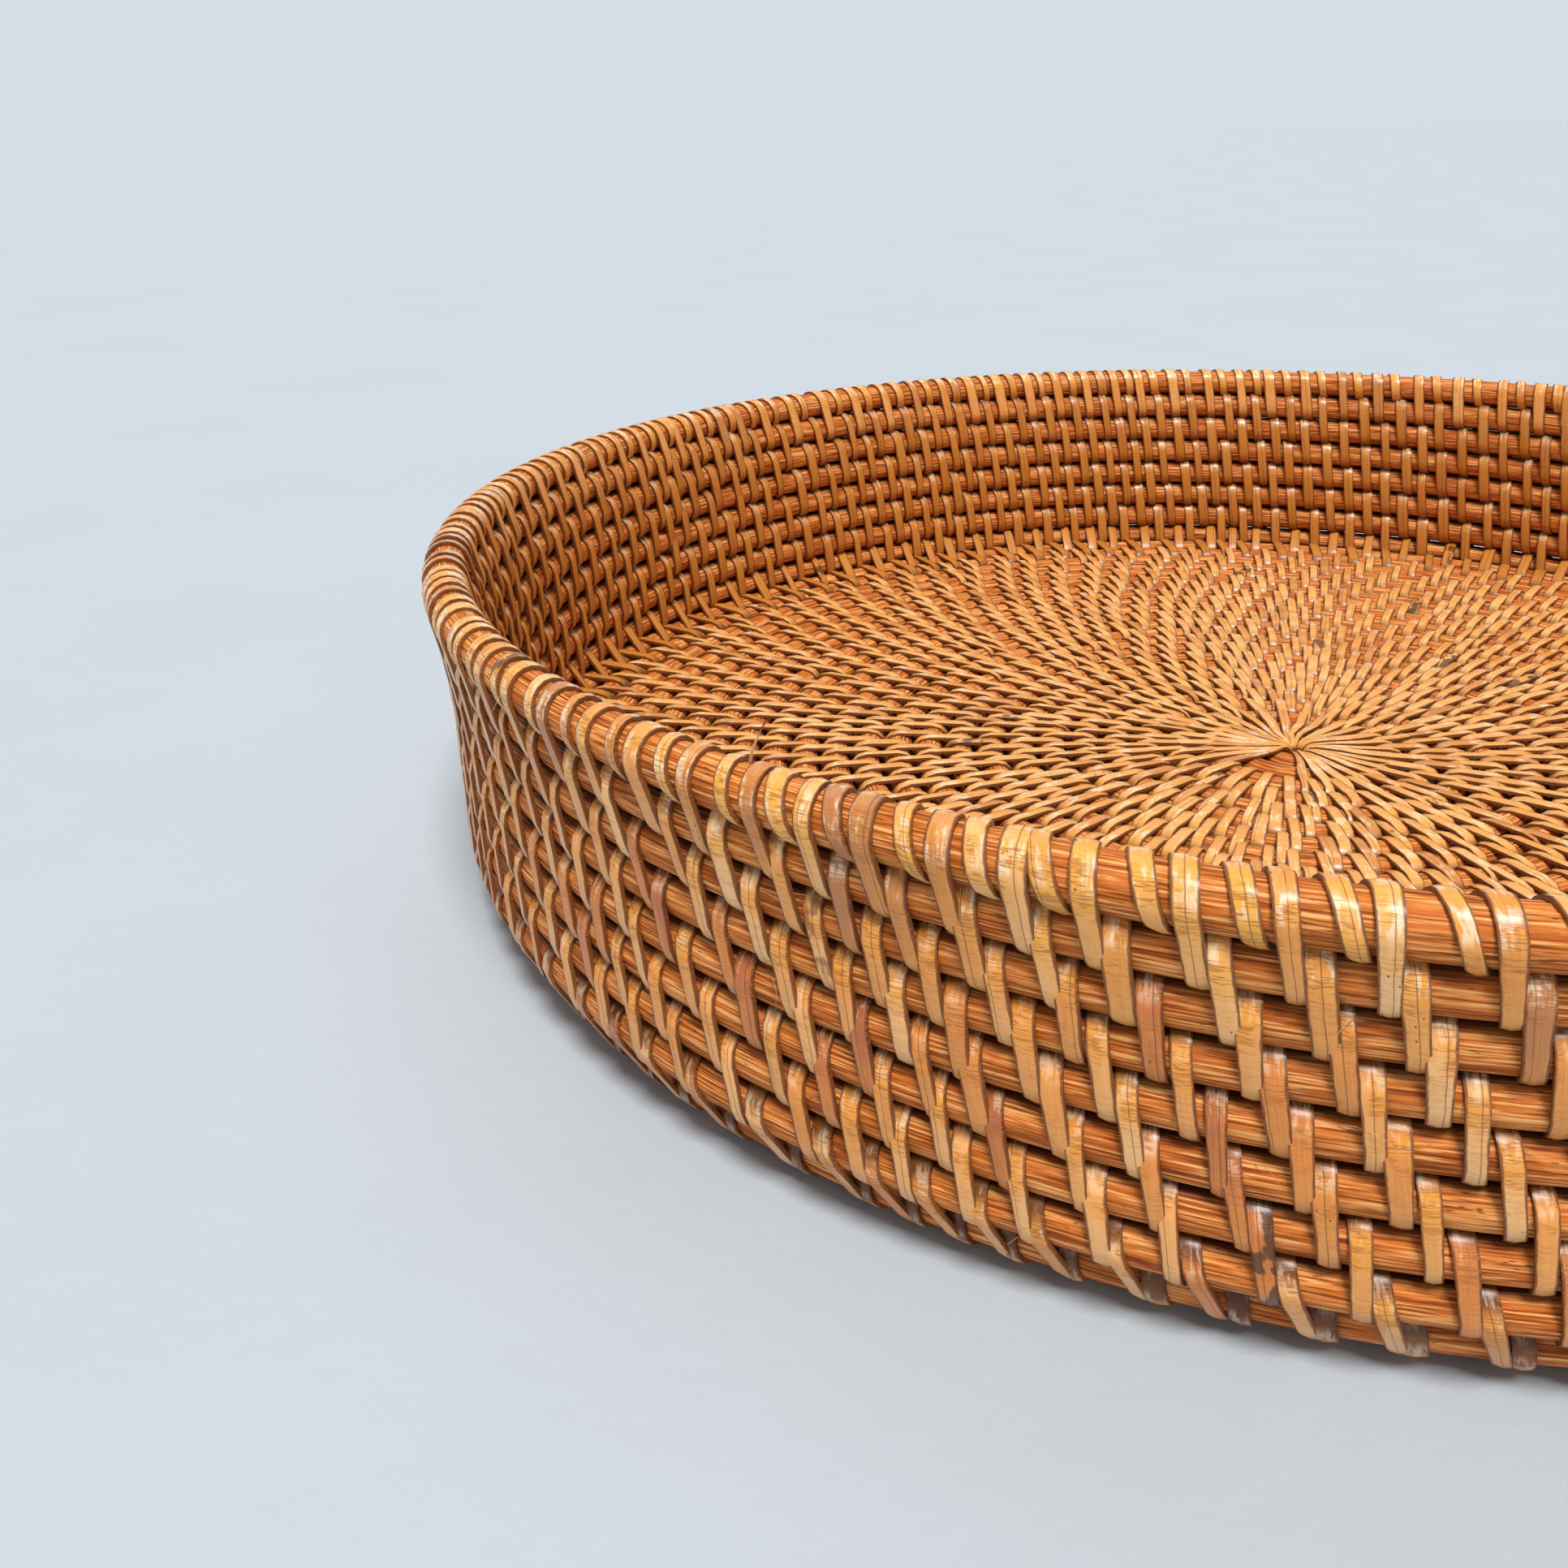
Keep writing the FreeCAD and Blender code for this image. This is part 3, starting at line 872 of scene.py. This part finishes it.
def centrePath(outerCane, holeReach):
    # from the outer side over the floor to the middle, down and back underneath
    height = lookRadius(0) + strip["slack"] * mm
    bend = centre["bend"] * mm
    inner = holeReach * mm + bend
    rows = []

    def follow(reach, level, radius, *angles):     # degrees from straight outward, over the top
        for angle in angles:
            outward, upward = math.cos(math.radians(angle)), math.sin(math.radians(angle))
            lift = floorHeight * mm + level + radius * upward
            rows.append((reach + radius * outward, lift, outward, upward))

    follow(outerCane, 0, height, 0, 30, 60, 90)
    for share in (0.2, 0.4, 0.6, 0.8, 1.0):
        follow(outerCane + (inner - outerCane) * share, 0, height, 90)
    follow(inner, height - bend, bend, 120, 150, 180)
    apex = len(rows) - 1
    follow(inner, bend - height, bend, 180, 210, 240, 270)
    follow(outerCane, 0, height, 270, 300, 330, 360)
    return rows, apex


def lashCentre(node, slot):
    stitches = None
    darkStrip = math.ceil(centre["bareFrom"] / (1 - centre["bareShare"]) * stitching["centreStrips"])
    for index in range(stitching["centreStrips"]):
        share = index / stitching["centreStrips"] * (1 - centre["bareShare"])
        if share >= centre["bareFrom"]:
            share += centre["bareShare"]
        point, running = canePoint(stitching["centreTurns"] - share)
        away = Vector((point.x, point.y, 0))
        holeReach = centre["holeReach"] + centre["holeOffset"] * away.normalized().x
        rows, apex = centrePath(away.length, holeReach)
        away.normalize()
        if stitches is None:
            stitches = StitchSet(stripBlank(len(rows) - 1))
        across = away.cross(Vector((0, 0, 1)))
        radii = np.array([row[0] for row in rows]) / mm
        outward = np.clip((radii - holeReach) / centre["widensOver"], 0, 1)
        bow = centre["swirl"] * mm * np.sin(outward * math.pi) * chance.uniform(0.2, 1.0)
        path = np.array([away * row[0] + Vector((0, 0, row[1])) for row in rows])
        path = path - bow[:, None] * np.array(across)[None, :]
        normals = np.array([away * row[2] + Vector((0, 0, row[3])) for row in rows])
        widths = centre["innerWidth"] + (centre["outerWidth"] - centre["innerWidth"]) * outward
        luck = stripLuck()
        if index == darkStrip:
            luck["tone"] = centre["darkTone"]
        pile = (index % 3) / 2 * centre["pile"] * mm * (1 - outward)
        stitches.add(path, normals, across, 0, 0, 0, luck, apex, widths * luck["width"], pile)
    stitches.finish(node, slot)


allStitches = stitchTurns()
lashCentre("centre_lashing", "floor_strip")
for number, (firstTurn, lastTurn) in enumerate(zip(floorSplits, floorSplits[1:]), start=1):
    chosen = [turn for turn in allStitches if firstTurn <= turn < lastTurn]
    lashTurns("floor_lashing_%d" % number, "floor_strip", chosen, strip["bendSteps"], strip["floorWidth"],
              strip["floorLeanIn"], strip["floorLeanOut"])
for name, firstTurn, lastTurn in courses:
    chosen = [turn for turn in allStitches if firstTurn <= turn < lastTurn]
    if firstTurn == rimStart:
        slot, bendSteps, width = "rim_strip", strip["rimBendSteps"], strip["rimWidth"]
    else:
        slot, bendSteps, width = "wall_strip", strip["bendSteps"], strip["wallWidth"]
    lashTurns(name % "lashing", slot, chosen, bendSteps, width, strip["leanIn"], strip["leanOut"])

lastTurnStart = coil["totalTurns"] - 1
wrapBack = stitching["wrapShift"] / (2 * math.pi * caneProfile(lastTurnStart)[0])
wrapTurns = [turn - wrapBack for turn in allStitches if turn - wrapBack >= lastTurnStart]
wrapRim("rim_short_wraps", "rim_strip", wrapTurns)
print("strips lashed:", len(allStitches) + len(wrapTurns) + stitching["centreStrips"])


# loose fibres that have sprung up from the strips

hair = {                       # millimetres
    "count": 46,
    "above": 0.62,             # they start after this share of the stitches
    "outside": 0.8,            # the share of them on the outer side
    "shortest": 2.0,
    "longest": 6.5,
    "insideLength": 0.6,       # as a share of the others
    "thickness": 0.11,
    "gap": 0.15,
    "rootOut": 0.75,           # where on the cane they start
    "rootUp": 0.65,
    "leanOut": 0.35,
    "curlOut": 0.5,
    "curl": 0.45,              # how far the tip bends, as a share of the length
    "longTurn": 32.082,        # one long fibre stands up from the rim
    "longSide": -0.3,          # a little to the inner side of its top
    "longLift": 2.0,
    "longAlong": 0.3,
    "longLength": 4.2,
    "longThickness": 0.374,
    "burntFrom": 56.0,         # height of its dark tip above the ground
    "burntTo": 57.4,
    "dark": (0.30, 0.12, 0.04),
    "light": (0.88, 0.56, 0.26),
    "burnt": (0.03, 0.012, 0.006),
    "toneScale": (300, 300, 300),                  # per metre
    "bumpScale": (900, 900, 900),
}


def raiseFibre(turn, side, lift, along, drop, length, thickness):
    point, running = canePoint(turn)
    outward = Vector((point.x, point.y, 0)).normalized()
    root = (outward * side * hair["rootOut"] + Vector((0, 0, hair["rootUp"]))).normalized()
    start = point + root * (fullRadius + hair["gap"] * mm)
    aim = (outward * side * hair["leanOut"] + Vector((0, 0, lift)) + running * along).normalized()
    curl = (outward * side * hair["curlOut"] - Vector((0, 0, drop))).normalized() * hair["curl"]
    bpy.ops.object.select_all(action="DESELECT")
    bpy.ops.mesh.primitive_cone_add(vertices=4, radius1=thickness / 2, radius2=thickness / 6,
                                    depth=length, end_fill_type="NGON")
    fibre = bpy.context.object
    bpy.ops.object.mode_set(mode="EDIT")
    for share in (-0.25, 0, 0.25):
        bpy.ops.mesh.select_all(action="SELECT")
        bpy.ops.mesh.bisect(plane_co=(0, 0, length * share), plane_no=(0, 0, 1))
    bpy.ops.object.mode_set(mode="OBJECT")
    turned = aim.to_track_quat("Z", "Y")
    for vertex in fibre.data.vertices:
        share = vertex.co.z / length + 0.5
        thin = turned @ Vector((vertex.co.x, vertex.co.y, 0))
        vertex.co = start + (aim * share + curl * share ** 2) * length + thin
    return fibre


def dryFibre():
    material, tree = newMaterial("dryFibre")
    place = addNode(tree, "ShaderNodeTexCoord").outputs["Object"]
    colour = blend(tree, noise(tree, place, hair["toneScale"]), hair["dark"], hair["light"])
    height = addNode(tree, "ShaderNodeSeparateXYZ", Vector=place).outputs["Z"]
    tip = stepUp(tree, height, hair["burntFrom"] * mm, hair["burntTo"] * mm, 0.95)
    colour = blend(tree, tip, colour, hair["burnt"])
    bump = bumpOf(tree, noise(tree, place, hair["bumpScale"]), 0.2, 0.02)
    surface(tree, colour, 0.6, bump)
    return material


def looseFibres(name):
    fibres = [raiseFibre(hair["longTurn"], hair["longSide"], hair["longLift"], hair["longAlong"], 0.0,
                         hair["longLength"] * mm, hair["longThickness"] * mm)]
    picks = random.Random(12)
    upperStitches = allStitches[int(len(allStitches) * hair["above"]):]
    for index in range(hair["count"]):
        turn = picks.choice(upperStitches) + picks.uniform(0, 0.004)
        side = 1 if picks.random() < hair["outside"] else -1
        lift = picks.uniform(-0.1, 0.8)
        length = picks.uniform(hair["shortest"], hair["longest"]) * (1 if side > 0 else hair["insideLength"])
        along = picks.uniform(-1, 1)
        drop = picks.uniform(0, 1)
        fibres.append(raiseFibre(turn, side, lift, along, drop, length * mm, hair["thickness"] * mm))
    for fibre in fibres:
        fibre.select_set(True)
    bpy.context.view_layer.objects.active = fibres[0]
    bpy.ops.object.join()
    piece = bpy.context.object
    piece.name = name
    piece.data.materials.append(dryFibre())
    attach(piece, "root")


looseFibres("loose_fibres")
print("fibres raised")


# floor, light and camera

stage = {                      # metres
    "floorSize": 60.0,
    "floorColour": (0.478, 0.535, 0.598),
    "mottle": 0.9,             # how bright the darker patches are
    "mottleScale": (9, 9, 9),
    "roughScale": (60, 60, 60),
    "world": (0.365, 0.362, 0.355),
    "horizon": (0.67, 0.735, 0.79),
}

suns = {                       # where each stands, how soft it is in degrees, its strength and colour
    "overhead": ((0.22, -0.42, 1.00), 20, 3.2, (1.0, 0.98, 0.95)),
    "window": ((-0.45, 0.70, 1.00), 40, 0.45, (1.0, 0.98, 0.96)),
}

view = {                       # metres and degrees
    "place": (0, -0.26096, 0.11168),
    "left": 21.02,             # turned this far to the left of +Y
    "down": 24.347,
    "roll": -1.545,
    "lens": 33.07,             # millimetres, as is the sensor
    "sensor": 36,
    "nearest": 0.01,
    "farthest": 60,
}


def paleFloor():
    material, tree = newMaterial("palePlaster")
    place = addNode(tree, "ShaderNodeTexCoord").outputs["Object"]
    patches = stepUp(tree, noise(tree, place, stage["mottleScale"], 5.0, 0.6), 0.3, 0.7, 0.35)
    darker = tuple(stage["mottle"] * value for value in stage["floorColour"])
    colour = blend(tree, patches, stage["floorColour"], darker)
    bump = bumpOf(tree, noise(tree, place, stage["roughScale"], 6.0, 0.6), 0.25, 1.5)
    surface(tree, colour, 0.75, bump)
    bpy.ops.object.select_all(action="DESELECT")
    bpy.ops.mesh.primitive_plane_add(size=stage["floorSize"], location=(0, 0, 0))
    floor = bpy.context.object
    floor.name = "floor"
    floor.data.materials.append(material)


def softLight(name, place, spread, strength, colour):
    bpy.ops.object.light_add(type="SUN", location=place)
    light = bpy.context.object
    light.name = name
    light.data.energy = strength
    light.data.angle = math.radians(spread)
    light.data.color = colour
    light.rotation_euler = Vector(place).to_track_quat("Z", "Y").to_euler()


def softRoom():                # pale near the horizon like the floor, dimmer overhead
    world = bpy.data.worlds.new("softRoom")
    world.use_nodes = True
    tree = world.node_tree
    direction = addNode(tree, "ShaderNodeTexCoord").outputs["Generated"]
    height = addNode(tree, "ShaderNodeSeparateXYZ", Vector=direction).outputs["Z"]
    colour = blend(tree, stepUp(tree, height, 0.10, 0.30), stage["horizon"], stage["world"])
    tree.links.new(colour, tree.nodes["Background"].inputs[0])
    bpy.context.scene.world = world


def setCamera():
    data = bpy.data.cameras.new("camera")
    camera = bpy.data.objects.new("camera", data)
    bpy.context.collection.objects.link(camera)
    heading = Matrix.Rotation(math.radians(view["left"]), 4, "Z")
    tilt = Matrix.Rotation(math.radians(90 - view["down"]), 4, "X")
    roll = Matrix.Rotation(math.radians(view["roll"]), 4, "Z")
    camera.matrix_world = Matrix.Translation(view["place"]) @ heading @ tilt @ roll
    data.sensor_width = view["sensor"]
    data.lens = view["lens"]
    data.clip_start = view["nearest"]
    data.clip_end = view["farthest"]
    bpy.context.scene.camera = camera


paleFloor()
for name, (place, spread, strength, colour) in suns.items():
    softLight(name, place, spread, strength, colour)
softRoom()
setCamera()
bpy.context.scene.view_settings.view_transform = "Standard"

print("ready")
